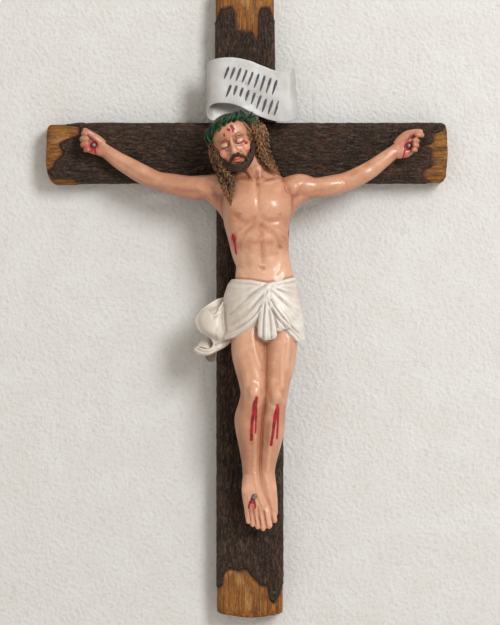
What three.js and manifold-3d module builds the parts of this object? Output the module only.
// Wall crucifix, 600 mm tall: a cross of two bark-covered timbers halved into each other, a painted
// cast figure with its loincloth, three round-headed nails, a woven crown of thorns and a curled
// title scroll. Millimetres, +Z up, the front faces -Y, and the origin is on the flat back of the
// cross at the crossing.
import * as THREE from 'three';
import { mergeVertices } from 'three/addons/utils/BufferGeometryUtils.js';
import Module from 'manifold-3d';

const wasm = await Module();
wasm.setup();

// Driving sizes
const crossTop = 160;
const crossFoot = -440;
const armLeft = -194;
const armRight = 188;
const beamDepth = 22.6; // bare wood, front to back
const barkThickness = 1.6;
const beamHeight = 55; // bare crossbeam, top to bottom
const clearance = 0.3;
const shankRadius = 1.4;
const nailHeadRadius = 3.2;
const scrollThickness = 1.8;

// Places on the figure, measured on the front of the object
const nailRight = [-148.1, 7.4];
const nailLeft = [150.4, 6.5];
const nailFeet = [4.2, -323.6];

const front = new THREE.Vector3(0, -1, 0);

// Solids: three.js geometry in and out of manifold-3d

function solidOf(geometry) {
  const bare = new THREE.BufferGeometry();
  bare.setAttribute('position', geometry.getAttribute('position'));
  if (geometry.index) bare.setIndex(geometry.index);
  const merged = mergeVertices(bare, 1e-4);
  return new wasm.Manifold(new wasm.Mesh({
    numProp: 3,
    vertProperties: merged.attributes.position.array,
    triVerts: new Uint32Array(merged.index.array),
  }));
}

function geometryOf(solid) {
  const mesh = solid.getMesh();
  const geometry = new THREE.BufferGeometry();
  geometry.setAttribute('position', new THREE.BufferAttribute(mesh.vertProperties, 3));
  geometry.setIndex(new THREE.BufferAttribute(mesh.triVerts, 1));
  return geometry;
}

const join = (solids) => solids.reduce((all, one) => all.add(one));

// Lofts: a closed skin through rings that all have the same number of points

function loft(rings) {
  const sides = rings[0].length;
  const ends = [rings[0], rings.at(-1)].map((ring) =>
    ring.reduce((sum, p) => sum.add(p), new THREE.Vector3()).divideScalar(sides));
  const points = [...rings.flat(), ...ends];
  const index = [];
  for (let i = 0; i < rings.length - 1; i++) {
    for (let j = 0; j < sides; j++) {
      const a = i * sides + j;
      const b = i * sides + (j + 1) % sides;
      index.push(a, b, b + sides, a, b + sides, a + sides);
    }
  }
  const [firstCentre, lastCentre] = [points.length - 2, points.length - 1];
  const lastRing = (rings.length - 1) * sides;
  for (let j = 0; j < sides; j++) {
    const k = (j + 1) % sides;
    index.push(firstCentre, k, j, lastCentre, lastRing + j, lastRing + k);
  }
  const volume = index.reduce((sum, _, n) => (n % 3 ? sum : sum + points[index[n]].dot(
    new THREE.Vector3().crossVectors(points[index[n + 1]], points[index[n + 2]]))), 0);
  if (volume < 0) index.reverse();
  const geometry = new THREE.BufferGeometry().setFromPoints(points);
  return geometry.setIndex(index);
}

// A superellipse ring around a centre: half width along `across`, half depth along `ahead`.
// `crowd` draws its points together at the front, where the carving is.
function ring(centre, across, ahead, wide, deep, sides, power = 2, crowd = 0) {
  return Array.from({ length: sides }, (_, j) => {
    const even = ((j + 0.5) / sides) * 2 * Math.PI;
    const turn = even + crowd * Math.cos(even);
    const bend = (value) => Math.sign(value) * Math.abs(value) ** (2 / power);
    return centre.clone()
      .addScaledVector(across, wide * bend(Math.cos(turn)))
      .addScaledVector(ahead, deep * bend(Math.sin(turn)));
  });
}

// A limb through stations [x, y, z, half width, half depth]. Its sections stand square to its line,
// or keep the direction `across` where one is given, as a finger that curls towards the viewer does.
function limbRings(stations, { sides = 8, power = 2, across = null, steps = 1, crowd = 0 } = {}) {
  const line = new THREE.CatmullRomCurve3(stations.map(([x, y, z]) => new THREE.Vector3(x, y, z)));
  const count = (stations.length - 1) * steps;
  const rings = [];
  for (let i = 0; i <= count; i++) {
    const place = i / steps;
    const here = Math.min(Math.floor(place), stations.length - 2);
    const t = place - here;
    const [wide, deep] = [3, 4].map((k) => THREE.MathUtils.lerp(stations[here][k], stations[here + 1][k], t));
    const centre = line.getPoint(i / count);
    const tangent = line.getTangent(i / count);
    const side = across ? across.clone() : new THREE.Vector3().crossVectors(tangent, front).normalize();
    const ahead = new THREE.Vector3().crossVectors(side, tangent).normalize();
    rings.push(ring(centre, side, ahead, wide, deep, sides, power, crowd));
  }
  return rings;
}

const limb = (stations, options) => solidOf(loft(limbRings(stations, options)));

function ellipsoid([x, y, z], [rx, ry, rz], segments = 10) {
  const ball = new THREE.SphereGeometry(1, segments, Math.ceil(segments * 0.6));
  return solidOf(ball.scale(rx, ry, rz).translate(x, y, z));
}

// Relief: moves points of a skin that faces the viewer, along a line drawn on the front
// [[x, z], ...]: out by `height` at the line, fading to nothing at `reach` from it.
function distanceToLine(x, z, line) {
  const point = new THREE.Vector2(x, z);
  let nearest = Infinity;
  for (let i = 0; i < line.length - 1; i++) {
    const a = new THREE.Vector2(...line[i]);
    const along = new THREE.Vector2(...line[i + 1]).sub(a);
    const t = THREE.MathUtils.clamp(point.clone().sub(a).dot(along) / along.lengthSq(), 0, 1);
    nearest = Math.min(nearest, a.addScaledVector(along, t).distanceTo(point));
  }
  return nearest;
}

function press(rings, strokes, middleDepth) {
  for (const point of rings.flat()) {
    const facing = THREE.MathUtils.smoothstep(middleDepth - point.y, 0, 10);
    for (const { line, reach, height } of strokes) {
      const near = 1 - THREE.MathUtils.smoothstep(distanceToLine(point.x, point.z, line), 0, reach);
      point.y -= height * near * facing;
    }
  }
  return rings;
}

// Cross: each timber is bare wood with a thicker skin of bark that stops in tongues near its ends

// Where the bark stops, as [distance from the timber's middle line, distance from its end]
const barkAtTop = [[-32, 42], [-27, 24], [-20, 23], [-16, 44], [-3, 47], [2, 56], [6, 48], [8, 24], [15, 23], [23, 36]];
const barkAtFoot = [[-32, 32], [-24, 46], [-2, 47], [7, 34], [15, 33], [21, 15], [25, 22], [32, 30]];
const barkAtLeft = [[-29, 32], [-23, 5], [-8, 8], [2, 14], [8, 13], [14, 22], [23, 32], [29, 16]];
const barkAtRight = [[-29, 14], [-18, 22], [-5, 16], [4, 20], [9, 22], [14, 16], [20, 5], [29, 2]];

// Height read off a line of points [place, value]
function between(side, edge) {
  const last = edge.length - 1;
  if (side <= edge[0][0]) return edge[0][1];
  if (side >= edge[last][0]) return edge[last][1];
  const i = edge.findIndex(([place]) => place > side) - 1;
  return THREE.MathUtils.mapLinear(side, edge[i][0], edge[i + 1][0], edge[i][1], edge[i + 1][1]);
}

// Furrows of the bark, a smooth uneven height from 0 to 1
function furrow(along, round) {
  const wave = Math.sin(along * 0.19 + Math.sin(round * 1.7) * 3) * Math.sin(round * 2.3 + along * 0.047);
  return 0.5 + 0.5 * wave;
}

// Half section of a timber at one station: from the back edge, up the side, over the rounded corner
// and along the front, for a timber `low` to `high` wide and `thick` deep
const sideSteps = 1;
const cornerSteps = 2;
const frontSteps = 6;
function timberSection(low, high, thick) {
  const corner = 7;
  const section = [];
  for (let i = 0; i < sideSteps; i++) section.push([low, (thick - corner) * (i / sideSteps)]);
  for (let i = 0; i <= cornerSteps; i++) {
    const turn = (i / cornerSteps) * Math.PI / 2;
    section.push([low + corner * (1 - Math.cos(turn)), thick - corner + corner * Math.sin(turn)]);
  }
  for (let i = 1; i < frontSteps; i++) {
    section.push([THREE.MathUtils.lerp(low + corner, high - corner, i / frontSteps), thick]);
  }
  for (let i = cornerSteps; i >= 0; i--) {
    const turn = (i / cornerSteps) * Math.PI / 2;
    section.push([high - corner * (1 - Math.cos(turn)), thick - corner + corner * Math.sin(turn)]);
  }
  for (let i = sideSteps - 1; i >= 0; i--) section.push([high, (thick - corner) * (i / sideSteps)]);
  return section;
}

// A timber along +Z from `foot` to `top`; `edges(z)` gives its bare left and right side
function timber({ foot, top, edges, barkFoot, barkTop, spacing = 33, bow = 1.6 }) {
  const reach = [0, 3, 9, 16, 23, 30, 37, 45, 54];
  const middle = [];
  const from = foot + reach.at(-1);
  const to = top - reach.at(-1);
  const steps = Math.round((to - from) / spacing);
  for (let i = 1; i < steps; i++) middle.push(THREE.MathUtils.lerp(from, to, i / steps));
  const stations = [...reach.map((r) => foot + r), ...middle, ...reach.map((r) => top - r).reverse()];
  const rings = stations.map((z) => {
    const [low, high] = edges(z);
    const centre = (low + high) / 2;
    const nearFoot = z - foot;
    const nearTop = top - z;
    const worn = 1 - THREE.MathUtils.smoothstep(Math.min(nearFoot, nearTop), 0, 6);
    return timberSection(low, high, beamDepth).map(([x, deep], j, section) => {
      const limit = Math.min(nearFoot - between(x - centre, barkFoot), nearTop - between(x - centre, barkTop));
      const bark = THREE.MathUtils.smoothstep(limit, -2, 2) * (barkThickness - 0.9 * furrow(z, j));
      const away = j === 0 || j === section.length - 1 ? 0 : 1;
      const sideways = Math.sign(x - centre) * (Math.abs(x - centre) > (high - low) / 2 - 5 ? 1 : 0);
      const shrink = 1 - worn * 0.045;
      // the end of the timber is hewn to a shallow bow
      const hewn = bow * ((x - centre) / ((high - low) / 2)) ** 2;
      const lift = nearFoot < 20 ? hewn * (1 - nearFoot / 20) : nearTop < 20 ? -hewn * (1 - nearTop / 20) : 0;
      return new THREE.Vector3(
        centre + (x - centre) * shrink + sideways * bark,
        -(deep * (away ? 1 - worn * 0.08 : 1) + away * (sideways ? bark * 0.5 : bark)),
        z + lift,
      );
    });
  });
  return loft(rings);
}

const uprightEdges = (z) => {
  const narrowing = THREE.MathUtils.smoothstep(z, -270, 150);
  return [-30.4, THREE.MathUtils.lerp(30.2, 21.8, narrowing)];
};
const halfBeam = beamHeight / 2;
const faceDepth = beamDepth + barkThickness;

// The halving joint: the upright keeps its back half at the crossing, the crossbeam its front half
function box(low, high) {
  const size = high.map((v, i) => v - low[i]);
  const middle = high.map((v, i) => (v + low[i]) / 2);
  return solidOf(new THREE.BoxGeometry(...size).translate(...middle));
}

function drill([x, z], radius, from, to, sides = 8) {
  const hole = new THREE.CylinderGeometry(radius, radius, to - from, sides);
  return solidOf(hole.translate(x, (from + to) / 2, z));
}

const halving = beamDepth / 2;
const lapHalf = halfBeam + barkThickness + 0.5;
const hanger = { width: 11, height: 16, deep: 8, z: 132 };

const nailHole = shankRadius + clearance;
const nailDepth = 9; // how far each nail goes into the wood behind its face

function makeUpright() {
  const body = solidOf(timber({
    foot: crossFoot, top: crossTop, edges: uprightEdges, barkFoot: barkAtFoot, barkTop: barkAtTop,
  }));
  const lap = box([-60, -60, -lapHalf], [60, -halving, lapHalf]);
  const pocket = box(
    [-4 - hanger.width / 2, -hanger.deep, hanger.z - hanger.height / 2],
    [-4 + hanger.width / 2, 5, hanger.z + hanger.height / 2]);
  const feetHole = drill(nailFeet, nailHole, -60, -faceDepth + nailDepth);
  return body.subtract(lap).subtract(pocket).subtract(feetHole);
}

function makeCrossbeam() {
  const lying = timber({
    foot: armLeft, top: armRight, edges: () => [-halfBeam, halfBeam],
    barkFoot: barkAtLeft.map(([side, reach]) => [-side, reach]).reverse(),
    barkTop: barkAtRight.map(([side, reach]) => [-side, reach]).reverse(),
  }).rotateY(Math.PI / 2);
  const body = solidOf(lying);
  const [low] = uprightEdges(0);
  const lap = box(
    [low - barkThickness - 0.5, -halving - clearance, -60],
    [uprightEdges(-30)[1] + barkThickness + 0.5, 5, 60]);
  const holes = [nailRight, nailLeft].map((at) => drill(at, nailHole, -60, -faceDepth + nailDepth));
  return body.subtract(lap).subtract(holes[0]).subtract(holes[1]);
}

// Figure: stations run [x, y, z, half width, half depth]

const torso = [
  [16.0, -47.0, -178.8, 20.7, 15.0], [16.0, -47.0, -162.8, 30.1, 19.0], [15.5, -47.0, -144.0, 31.1, 20.5],
  [14.1, -46.5, -128.0, 29.2, 19.0], [13.2, -46.0, -115.7, 27.3, 17.5], [12.1, -46.0, -103.5, 25.7, 17.0],
  [9.7, -46.5, -92.2, 27.3, 18.0], [8.0, -48.0, -78.1, 29.2, 20.0], [6.6, -49.0, -64.1, 31.5, 22.0],
  [6.6, -49.0, -51.8, 32.9, 22.5], [7.1, -47.0, -40.5, 32.4, 20.0], [7.5, -45.5, -31.9, 29.1, 16.5],
  [7.5, -44.5, -25.2, 20.6, 12.5], [6.6, -45.0, -19.6, 12.2, 10.0],
];
const neck = [
  [6.6, -45.0, -30.0, 13.5, 12.0], [4.4, -46.5, -18.5, 11.2, 10.5], [0.5, -49.0, -9.5, 10.2, 10.0],
  [-6.0, -53.0, 0.0, 10.0, 10.0],
];
const rightArm = [
  [-16.0, -44.0, -36.2, 11.3, 11.0], [-27.4, -42.0, -33.6, 13.0, 12.0], [-42.5, -40.0, -33.1, 11.9, 11.5],
  [-56.7, -38.5, -33.0, 11.1, 10.5], [-73.7, -37.0, -29.6, 10.0, 9.5], [-87.0, -36.0, -26.3, 8.7, 8.6],
  [-99.5, -35.2, -21.3, 9.3, 8.8], [-113.5, -34.0, -13.4, 8.7, 8.0], [-125.0, -33.0, -6.6, 7.7, 7.2],
  [-135.4, -31.6, 0.9, 6.6, 5.6], [-141.0, -30.6, 3.6, 6.8, 5.0],
];
const leftArm = [
  [32.0, -43.6, -35.8, 11.6, 11.0], [43.4, -42.0, -33.2, 12.6, 12.0], [50.0, -41.0, -32.6, 12.3, 11.8],
  [61.4, -39.5, -33.5, 10.0, 10.8], [75.6, -38.0, -31.5, 10.0, 10.0], [89.8, -36.5, -27.7, 9.1, 9.0],
  [101.2, -35.5, -22.9, 9.0, 8.8], [113.5, -34.5, -16.1, 8.5, 8.2], [125.0, -33.3, -7.6, 7.5, 7.2],
  [135.0, -31.8, 0.0, 6.6, 5.8], [141.0, -30.6, 3.9, 6.8, 5.0],
];
const rightLeg = [
  [-0.6, -48.5, -164.0, 16.8, 17.4], [-0.9, -52.0, -186.3, 16.7, 17.0],
  [0.5, -55.0, -200.3, 15.4, 15.5], [2.3, -58.0, -214.3, 13.3, 14.0], [3.1, -59.5, -227.4, 12.1, 13.6],
  [1.4, -57.0, -237.8, 12.5, 13.2], [-0.9, -53.0, -250.1, 13.7, 14.0], [-0.9, -50.0, -261.5, 12.8, 13.4],
  [0.0, -47.0, -275.8, 10.8, 11.5], [0.8, -45.0, -290.0, 9.2, 9.6], [1.4, -44.0, -301.4, 8.5, 8.7],
  [1.7, -43.5, -310.8, 8.7, 8.8],
];
const leftLeg = [
  [30.3, -48.0, -166.0, 16.0, 17.5], [28.7, -51.0, -186.3, 15.4, 16.5],
  [27.7, -54.0, -200.3, 14.1, 15.0], [25.8, -56.5, -214.3, 12.4, 13.5], [24.4, -57.5, -228.4, 11.2, 13.0],
  [23.0, -55.0, -237.8, 11.1, 12.6], [21.6, -51.0, -250.2, 11.7, 13.2], [20.7, -47.5, -261.6, 11.8, 12.8],
  [18.8, -44.0, -275.9, 10.4, 11.0], [16.5, -41.0, -290.2, 8.8, 9.4], [15.1, -39.0, -301.7, 8.4, 8.5],
  [15.6, -38.0, -311.2, 8.4, 8.4],
];

const bodyRelief = [
  { line: [[-12, -50], [-6, -55], [1, -56]], reach: 13, height: 2.4 }, // breast, right
  { line: [[14, -56], [21, -56], [28, -52]], reach: 13, height: 2.4 }, // breast, left
  { line: [[7, -30], [7, -60], [8, -89], [12, -106]], reach: 6.5, height: -1.6 }, // middle line
  { line: [[6, -69], [-3, -78], [-9, -93]], reach: 7, height: 1.5 }, // rib arch, right
  { line: [[10, -70], [21, -79], [28, -92]], reach: 7, height: 1.5 }, // rib arch, left
  { line: [[2, -84], [4, -104]], reach: 7, height: 1 }, // belly, right
  { line: [[15, -84], [19, -104]], reach: 7, height: 1 }, // belly, left
  { line: [[13, -109], [14, -111]], reach: 4.5, height: -1.6 }, // navel
];

const rightLegRelief = [
  { line: [[2.5, -222], [3, -229]], reach: 10, height: 3 }, // kneecap
  { line: [[2, -244], [2, -300]], reach: 6, height: 1.2 }, // shin
];
const leftLegRelief = [
  { line: [[24, -224], [24, -230]], reach: 9, height: 3 }, // kneecap
  { line: [[21, -246], [15, -300]], reach: 6, height: 1.2 }, // shin
];

// Between the legs, where they press together
const betweenLegs = [
  [16.5, -43, -166, 6, 10], [15.4, -46, -198, 6, 11], [14.4, -50, -228, 5, 11], [11.8, -44, -255, 5, 11],
  [9.6, -39, -288, 4, 8.5], [8.6, -38, -308, 4.5, 8],
];

// Where the chest runs out into the upper arms, and where the shoulders rise to the neck
const armpits = [[-22, -43, -49], [35.5, -43.5, -46]];
const shoulders = [
  [-26, -43, -30, 7, 8], [-12, -44, -26, 8, 9], [6, -45, -22, 9, 10], [20, -44, -24, 7, 8], [30, -43, -29, 6, 7],
];

function makeBody() {
  const leg = (stations, relief) => solidOf(loft(press(limbRings(stations, { sides: 10, crowd: 0.25 }), relief, -54)));
  const chest = press(limbRings(torso, { sides: 20, power: 2.35, crowd: 0.45, steps: 1 }), bodyRelief, -50);
  return [
    solidOf(loft(chest)),
    limb(neck, { sides: 7 }),
    limb(shoulders, { sides: 6, across: new THREE.Vector3(0, 0, 1) }),
    limb(rightArm, { sides: 8 }),
    limb(leftArm, { sides: 8 }),
    leg(rightLeg, rightLegRelief),
    leg(leftLeg, leftLegRelief),
    limb(betweenLegs, { sides: 5 }),
    ...armpits.map((at) => ellipsoid(at, [9.6, 8, 9], 6)),
  ];
}

// Hands: the palm faces the viewer, the fingers curl in over it and the thumb lies along the top.
// `out` points from the wrist to the knuckles, `up` towards the thumb.
function makeHand({ wrist, out, curl, thumb }) {
  const outward = new THREE.Vector3(out[0], 0, out[1]).normalize();
  const up = new THREE.Vector3(-outward.z, 0, outward.x);
  if (up.z < 0) up.negate();
  const start = new THREE.Vector3(...wrist);
  const at = (o, u, f) => start.clone().addScaledVector(outward, o).addScaledVector(up, u).addScaledVector(front, f);
  const station = (point, wide, deep) => [...point.toArray(), wide, deep];
  const palm = limb([
    station(at(-2, 0.4, 0), 5.8, 4.6), station(at(5, 0, 0), 7.6, 4.6), station(at(12, -0.3, 0), 9.2, 4.2),
    station(at(18, -0.8, 0), 9.4, 3.8), station(at(21.5, -0.8, 0), 8.2, 3.0),
  ], { sides: 8, power: 2.6 });
  const fingers = [6.6, 2.2, -2.4, -6.8].map((side, n) => {
    const long = [0.95, 1.05, 1, 0.85][n];
    return limb([
      station(at(17, side, 0.5), 2.3, 2.4), station(at(23 * long, side, 3), 2.5, 2.5),
      station(at(23.5 * long - curl, side * 0.92, 7), 2.4, 2.3), station(at(15 * long - curl, side * 0.86, 8), 1.7, 1.7),
    ], { sides: 5, across: up });
  });
  const digit = limb(thumb.map(([o, u, f, r]) => station(at(o, u, f), r, r)), { sides: 5 });
  return [palm, ...fingers, digit];
}

const rightHand = {
  wrist: [-138.6, -30.6, 0.6], out: [-0.87, 0.5], curl: 0,
  thumb: [[2, 4.5, 0, 4], [9, 7.6, 2.5, 3.4], [16, 9, 4.5, 2.9], [22, 9.4, 5, 2.1]],
};
const leftHand = {
  wrist: [139.2, -30.6, 1.2], out: [0.88, 0.4], curl: -0.5,
  thumb: [[1, 4.5, 0, 4], [9, 8.6, 2.5, 3.5], [17, 9.6, 4, 2.9], [24.5, 8.4, 4, 2.1]],
};

// Feet: the right one lies over the left, and the nail goes through both
function makeFoot(stations, toes) {
  const sole = limb(stations, { sides: 9, power: 2.3 });
  const digits = toes.map(([x, y, z, long, r]) => {
    const spread = (x - stations[2][0]) * 0.07;
    return limb([
      [x, y, z + 7, r, r], [x + spread, y - 0.4, z - long * 0.7, r, r * 0.95], [x + spread, y + 1, z - long, r * 0.5, r * 0.5],
    ], { sides: 5 });
  });
  return [sole, ...digits];
}

const rightFoot = {
  stations: [
    [1.7, -43.5, -306, 8.6, 9.2], [1.4, -44, -315, 10, 9.6], [3.2, -43.5, -325, 10.4, 8.2],
    [5.6, -42, -335, 11.2, 6.4], [6.6, -41, -342, 11.2, 5.0], [6.8, -40.6, -345, 9.6, 3.6],
  ],
  toes: [[-3.2, -41.2, -342, 6, 1.9], [0.9, -42, -344, 8, 2.1], [5.2, -42.5, -345, 10, 2.2], [9.7, -43, -346, 11, 2.4], [14.6, -43, -344, 11.5, 3.2]],
};
const leftFoot = {
  stations: [
    [15.6, -37, -306, 8.4, 8.6], [15.6, -36.5, -315, 9.2, 8.6], [16, -35, -325, 9, 7.4],
    [16.4, -33.4, -335, 8.8, 5.8], [17, -32.6, -343, 8.4, 4.8], [17.4, -32, -347, 7, 3.4],
  ],
  toes: [[17.4, -33.4, -345, 9.5, 2.6], [22.2, -32.8, -343, 7.5, 2.1]],
};

// Head: built upright about its own centre, then bowed, turned and leaned as `headFrame` says
const headFrame = new THREE.Group();
headFrame.position.set(-15.6, -60, 8);
headFrame.rotation.set(...[4, -19, -5].map(THREE.MathUtils.degToRad), 'YXZ');
headFrame.updateMatrix();

const skull = [
  [0, -11.5, -26, 4.5, 4], [0, -9.5, -22, 9.2, 8.8], [0, -6, -15.5, 13.4, 13], [0, -2.5, -8, 16.6, 16.3],
  [0, 0, 0, 17.8, 18.8], [0, 1, 9, 18.2, 20], [0, 1.8, 18, 15.5, 17.8], [0, 2.5, 25, 6, 7],
];
const nose = [[0, -18.2, 4, 1.6, 1.2], [0, -20, -3, 2.1, 2.4], [0, -21.4, -7.6, 3.4, 3.2], [0, -19.8, -10.4, 3.2, 1.4]];
const beard = [
  [-17, 0, -4, 3.2, 3], [-16, -6, -12, 4, 3.6], [-11.4, -11.5, -20, 5, 4.6], [-4.5, -14.2, -25, 5.4, 5.4],
  [4.5, -14.2, -25, 5.4, 5.4], [11.4, -11.5, -20, 5, 4.6], [16, -6, -12, 4, 3.6], [17, 0, -4, 3.2, 3],
];
const moustache = [
  [-9.4, -16, -18.5, 1.4, 1.4], [-6.6, -18.8, -14.2, 1.9, 1.9], [0, -20, -12.4, 1.6, 1.6],
  [6.6, -18.8, -14.2, 1.9, 1.9], [9.4, -16, -18.5, 1.4, 1.4],
];

function makeHead() {
  const parts = [
    limb(skull, { sides: 12, power: 2.1 }),
    limb(nose, { sides: 4 }),
    limb(beard, { sides: 5, across: new THREE.Vector3(0, 0, 1) }),
    limb(moustache, { sides: 5, across: new THREE.Vector3(0, 0, 1) }),
    ellipsoid([1.5, 4.5, 4], [20, 21, 21.5], 9), // hair on the crown and back
    ellipsoid([0, -17, -17.6], [4.2, 2.2, 1.6], 6), // lower lip
  ];
  const sockets = [-6.4, 6.4].map((x) => ellipsoid([x, -20, 0.6], [4.6, 3.2, 3.2], 6));
  const lids = [-6.4, 6.4].map((x) => ellipsoid([x, -16, 0.2], [4, 2.2, 2], 6));
  const face = join(parts);
  const whole = join([face.subtract(sockets[0]).subtract(sockets[1]), ...lids]);
  return solidOf(geometryOf(whole).applyMatrix4(headFrame.matrix));
}

// Locks of hair, falling to the shoulders, in the object's own frame
const locks = [
  [[-35, -56, 8, 3.6, 5], [-34, -56, -3, 4, 5.5], [-29.6, -57, -13, 4.6, 5.5], [-25.8, -60, -22, 5, 5],
    [-22, -63, -31, 4.4, 4.4], [-19, -66, -40, 3, 3], [-17.6, -67, -49, 0.8, 0.8]],
  [[-30, -66, -3, 2.4, 3], [-26.5, -67, -13, 3.8, 3.6], [-20.5, -67, -21, 4.6, 4], [-16.6, -68, -29, 4, 3.6],
    [-15.8, -69, -37, 2.8, 2.8], [-17, -68.5, -46, 0.8, 0.8]],
  [[-31, -46, 10, 5, 7], [-30.5, -44.5, -4, 5.4, 8], [-27, -44, -14, 6, 8], [-23, -47, -24, 5.5, 8], [-20, -54, -33, 4.5, 6]],
  [[-2, -61, 26, 4, 4], [5, -63, 20, 5, 5], [8, -62, 12, 4.8, 5.4], [9, -58.5, 2, 4.4, 5.4], [12, -56, -6.5, 4.6, 4.6],
    [18, -55, -13.5, 3.8, 4], [25.5, -54, -21, 1.2, 1.2]],
  [[4, -55, 26, 4.5, 6], [11, -54, 20, 4.4, 7], [12, -50, 11, 5, 8], [13, -47, 1, 5.6, 8], [16, -45, -8, 6, 7],
    [22.5, -44.5, -16, 4.2, 6], [29, -46, -24.5, 1.2, 1.6]],
];

// Loincloth: a wrap around the hips with a slanting hem, a hanging tail, and an end that flies free

// Top edge and hem of the wrap, as heights over its width at the front
const wrapTop = [[-17, -119.6], [-1, -120.4], [7.5, -122], [16.8, -123.6], [29, -121.3], [43, -117.8]];
const wrapHem = [
  [-27, -178], [-16, -174], [-3, -165], [6, -156], [11, -151], [17, -155], [24, -166], [28.5, -169],
  [34.4, -166.3], [37.6, -170.3], [41.8, -174.3], [45.2, -178.4], [49.2, -177],
];
// Its reach to either side of the hips' middle, from the top edge down to the hem
const wrapRight = [[0, 30], [0.35, 38], [0.7, 41], [1, 41.4]];
const wrapLeft = [[0, 29.2], [0.3, 32.4], [0.65, 36.2], [1, 38.2]];

// Creases of the cloth run out from the gather over either hip
const wrapRelief = [
  { line: [[14, -124], [0, -131], [-14, -138], [-23, -146]], reach: 4.2, height: -1.4 },
  { line: [[15, -131], [6, -141], [0, -150], [-12, -158], [-19, -162]], reach: 4.2, height: -1.7 },
  { line: [[9, -143], [5, -154], [-4, -162], [-18, -169]], reach: 3.6, height: 1.2 },
  { line: [[21, -126], [34, -132], [46, -138]], reach: 4.2, height: -1.4 },
  { line: [[20, -130], [30, -139], [41, -151], [49, -161]], reach: 4.2, height: -1.7 },
  { line: [[17, -137], [25, -150], [35, -161], [43, -170]], reach: 4.2, height: 2 },
];

function makeWrap() {
  const rows = 8;
  const sides = 28;
  const rings = Array.from({ length: rows + 1 }, (_, i) => {
    const t = i / rows;
    const deep = THREE.MathUtils.lerp(20, 24.2, Math.sqrt(t));
    return Array.from({ length: sides }, (_, j) => {
      const even = ((j + 0.5) / sides) * 2 * Math.PI;
      const turn = even + 0.45 * Math.cos(even);
      const bend = (v) => Math.sign(v) * Math.abs(v) ** (2 / 2.35);
      const wide = between(t, Math.cos(turn) < 0 ? wrapRight : wrapLeft);
      const x = 14 + wide * bend(Math.cos(turn));
      const z = THREE.MathUtils.lerp(between(x, wrapTop), between(x, wrapHem), t);
      return new THREE.Vector3(x, Math.min(-46.8 - deep * bend(Math.sin(turn)), -faceDepth - clearance), z);
    });
  });
  return solidOf(loft(press(rings, wrapRelief, -50)));
}

// The hanging tail, a fan of pleats below the gather
function makeTail() {
  const rows = [[17.4, -69, -127, 2.6], [17, -72, -138, 4], [17.2, -73.5, -150, 5.6], [18, -74, -163, 7], [18.6, -74.4, -174.5, 8]];
  const sides = 14;
  const rings = rows.map(([x, y, z, half], i) => Array.from({ length: sides }, (_, j) => {
    const over = j < sides / 2;
    const s = (over ? j / (sides / 2 - 1) : 1 - (j - sides / 2) / (sides / 2 - 1)) * 2 - 1;
    const pleat = 0.5 * i * Math.cos(s * 7.5);
    return new THREE.Vector3(x + s * half, y + (over ? -1.4 : 1.6) + pleat, z - (i === rows.length - 1 ? 2.5 * Math.cos(s * 3 + 0.6) : 0));
  }));
  return solidOf(loft(rings));
}

// The free end: rows from its top edge to its bottom, each from the hip out to the hem
const flyingEnd = [
  [[-22, -48, -137], [-33, -42, -139], [-41, -39, -143], [-46, -44, -149]],
  [[-23, -57, -147], [-34, -62, -150], [-43, -61, -151.5], [-50.5, -53, -158]],
  [[-23, -57, -160], [-34, -54, -161], [-41, -50, -163], [-47, -46, -167]],
  [[-22, -55, -169], [-29, -58, -172], [-34, -52, -174], [-38.5, -44, -171.5]],
  [[-20, -50, -174], [-27, -56, -181], [-33, -58, -184], [-36, -48, -181]],
  [[-19, -43, -176], [-28, -45, -186], [-39, -49, -189], [-50.5, -46, -187]],
];

function makeFlyingEnd() {
  const half = 1.2;
  const rows = flyingEnd.map((row) => new THREE.CatmullRomCurve3(row.map((p) => new THREE.Vector3(...p))));
  const down = 7;
  const out = 5;
  const columns = Array.from({ length: out + 1 }, (_, i) =>
    new THREE.CatmullRomCurve3(rows.map((row) => row.getPoint(i / out))));
  const skin = columns.map((column) => Array.from({ length: down + 1 }, (_, j) => column.getPoint(j / down)));
  const rings = skin.map((points, i) => {
    const beside = skin[i ? i - 1 : 1];
    const shift = points.map((p, j) => {
      const along = new THREE.Vector3().subVectors(points[Math.min(j + 1, down)], points[Math.max(j - 1, 0)]);
      const across = new THREE.Vector3().subVectors(p, beside[j]).multiplyScalar(i ? 1 : -1);
      return new THREE.Vector3().crossVectors(along, across).normalize().multiplyScalar(half);
    });
    const outer = points.map((p, j) => p.clone().add(shift[j]));
    const inner = points.map((p, j) => p.clone().sub(shift[j])).reverse();
    return [...outer, ...inner];
  });
  return solidOf(loft(rings));
}

// The crown sits askew in a shallow seat pressed into the hair
const crown = { wide: 24, deep: 25, rope: 5, groove: 1.8 };
const crownFrame = new THREE.Group();
crownFrame.position.set(-14.6, -57, 19.2);
crownFrame.rotation.set(...[-32, -24, 0].map(THREE.MathUtils.degToRad), 'YXZ');
crownFrame.updateMatrix();

function makeCrownSeat() {
  const tube = crown.rope + 6 * clearance;
  const seat = new THREE.TorusGeometry(2, 1, 5, 16);
  const place = seat.getAttribute('position');
  for (let i = 0; i < place.count; i++) {
    const turn = Math.atan2(place.getY(i), place.getX(i));
    const out = Math.hypot(place.getX(i), place.getY(i)) - 2;
    place.setXYZ(i, Math.cos(turn) * (crown.wide + out * tube), Math.sin(turn) * (crown.deep + out * tube), place.getZ(i) * tube);
  }
  return seat.applyMatrix4(crownFrame.matrix);
}

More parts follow.
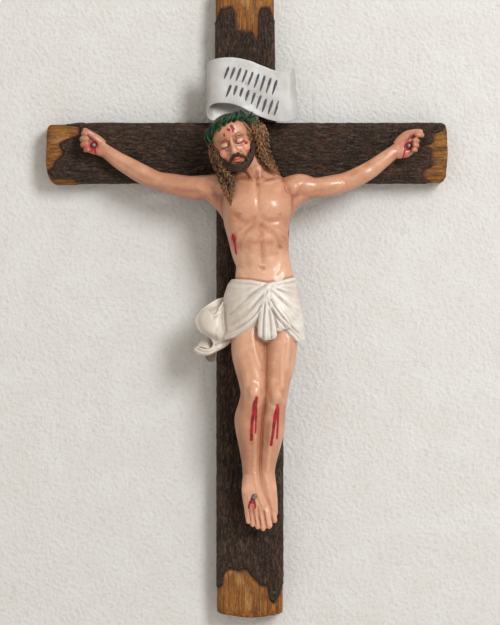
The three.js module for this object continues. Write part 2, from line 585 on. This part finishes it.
function makeFigure() {
  const body = join([
    ...makeBody(), ...makeHand(rightHand), ...makeHand(leftHand),
    ...makeFoot(rightFoot.stations, rightFoot.toes), ...makeFoot(leftFoot.stations, leftFoot.toes),
    makeHead(), ...locks.map((lock) => limb(lock, { sides: 4 })), makeWrap(), makeTail(), makeFlyingEnd(),
  ]);
  const seats = [nailRight, nailLeft].map((at) => drill(at, nailHeadRadius + clearance, -60, palmFace));
  const feetSeat = drill(nailFeet, nailHeadRadius + clearance, -80, footFace);
  const holes = [nailRight, nailLeft, nailFeet].map((at) => drill(at, nailHole, -80, 0));
  return [...seats, feetSeat, ...holes, solidOf(makeCrownSeat())].reduce((all, cut) => all.subtract(cut), body);
}

const palmFace = -34.4;
const footFace = -51.5;

// Crown: a closed rope of three twisted strands, with thorns standing out of it
function makeCrown() {
  const turns = 25;
  const sides = 9;
  const windings = 5;
  const points = [];
  const index = [];
  for (let i = 0; i < turns; i++) {
    const turn = (i / turns) * 2 * Math.PI;
    for (let j = 0; j < sides; j++) {
      const round = (j / sides) * 2 * Math.PI;
      const strand = crown.rope - crown.groove * (0.5 - 0.5 * Math.cos(3 * (round - turn * windings / 3)));
      const out = strand * Math.cos(round);
      points.push(new THREE.Vector3(
        Math.cos(turn) * (crown.wide + out), Math.sin(turn) * (crown.deep + out), strand * Math.sin(round)));
      const [a, b] = [i * sides + j, i * sides + (j + 1) % sides];
      const [c, d] = [a, b].map((n) => (n + sides) % (turns * sides));
      index.push(a, c, d, a, d, b);
    }
  }
  const rope = solidOf(new THREE.BufferGeometry().setFromPoints(points).setIndex(index));
  const thorns = Array.from({ length: 9 }, (_, i) => {
    const turn = ((i + 0.5) / 9) * 2 * Math.PI;
    const lean = (i * 2.4) % 1.6 - 0.4;
    const thorn = new THREE.ConeGeometry(1.4, 6, 3).translate(0, 4.6, 0).rotateX(lean).rotateZ(turn - Math.PI / 2);
    return solidOf(thorn.translate(Math.cos(turn) * crown.wide, Math.sin(turn) * crown.deep, 0));
  });
  return join([rope, ...thorns]);
}

// Nails: one turned profile, from the point to the domed head, laid along Y
function makeNail(seatFace) {
  const long = -seatFace - faceDepth + nailDepth - 0.6;
  const r = shankRadius;
  const profile = [[0, 0], [r, 3], [r, long], [nailHeadRadius, long + 0.1], [nailHeadRadius, long + 0.7],
    [nailHeadRadius * 0.65, long + 1.8], [0, long + 2.3]];
  const turned = new THREE.LatheGeometry(profile.map(([x, y]) => new THREE.Vector2(x, y)), 10);
  return turned.rotateX(Math.PI);
}

// Title scroll: a thin plate with both ends curled back, as [x, y, bottom, top, lean of the top in x]
const scrollPath = [
  [8, -25.6, 32, 76, 0], [-6, -25.6, 32, 77, 0], [-22, -25.7, 33, 78, 0], [-34, -26.2, 34.5, 80, 0],
  [-38.6, -28.6, 35.5, 82, 0.4], [-40.2, -33, 38, 84, 0.6], [-38.8, -38, 43, 86, 0.4], [-34, -42, 46, 88, 0],
  [-24, -44.5, 46.2, 89.4, 0], [-12, -44.5, 43.8, 88.8, 0], [0, -43, 38.2, 86.2, 0], [12, -41.5, 33.5, 81.6, 0],
  [24, -41.2, 30.8, 77.2, 0], [34, -41.5, 30.5, 75.6, -0.6], [41, -39.5, 32, 76.6, -1.8], [44.8, -35, 33.6, 76, -3.4],
  [44, -30, 34, 75.4, -3.4], [40.5, -26.4, 34, 75, -2.4], [35, -25.6, 34, 75, -1.6],
];

function makeScroll() {
  const half = scrollThickness / 2;
  const rings = scrollPath.map(([x, y, bottom, top, lean], i) => {
    const before = scrollPath[Math.max(i - 1, 0)];
    const after = scrollPath[Math.min(i + 1, scrollPath.length - 1)];
    const along = new THREE.Vector2(after[0] - before[0], after[1] - before[1]).normalize();
    const [nx, ny] = [-along.y * half, along.x * half];
    const corner = (side, end) => new THREE.Vector3(x + side * nx + (end > 0 ? lean : 0), y + side * ny, end > 0 ? top : bottom);
    return [corner(1, 1), corner(1, -1), corner(-1, -1), corner(-1, 1)];
  });
  return loft(rings);
}

// The parts, each its own named mesh

const paint = (colour, roughness = 0.6, metalness = 0) =>
  new THREE.MeshStandardMaterial({ color: colour, roughness, metalness });

function part(name, geometry, material, parent, position = [0, 0, 0]) {
  const mesh = new THREE.Mesh(geometry, material);
  mesh.name = name;
  mesh.position.set(...position);
  parent.add(mesh);
  return mesh;
}

const crucifix = new THREE.Group();
const bark = paint(0x3b2f29, 0.85);
const steel = paint(0x8d8a84, 0.35, 0.9);

part('upright', geometryOf(makeUpright()), bark, crucifix);
part('crossbeam', geometryOf(makeCrossbeam()), bark, crucifix);
part('figure', geometryOf(makeFigure()), paint(0xd9a27c, 0.4), crucifix);
part('crown_of_thorns', geometryOf(makeCrown()), paint(0x1f5a2e, 0.5), crownFrame);
part('title_scroll', makeScroll(), paint(0xdcdcda, 0.5), crucifix);

const nailTip = -faceDepth + nailDepth - 0.6;
part('nail_right_hand', makeNail(palmFace), steel, crucifix, [nailRight[0], nailTip, nailRight[1]]);
part('nail_left_hand', makeNail(palmFace), steel, crucifix, [nailLeft[0], nailTip, nailLeft[1]]);
part('nail_feet', makeNail(footFace), steel, crucifix, [nailFeet[0], nailTip, nailFeet[1]]);
crucifix.add(crownFrame);

export default crucifix;
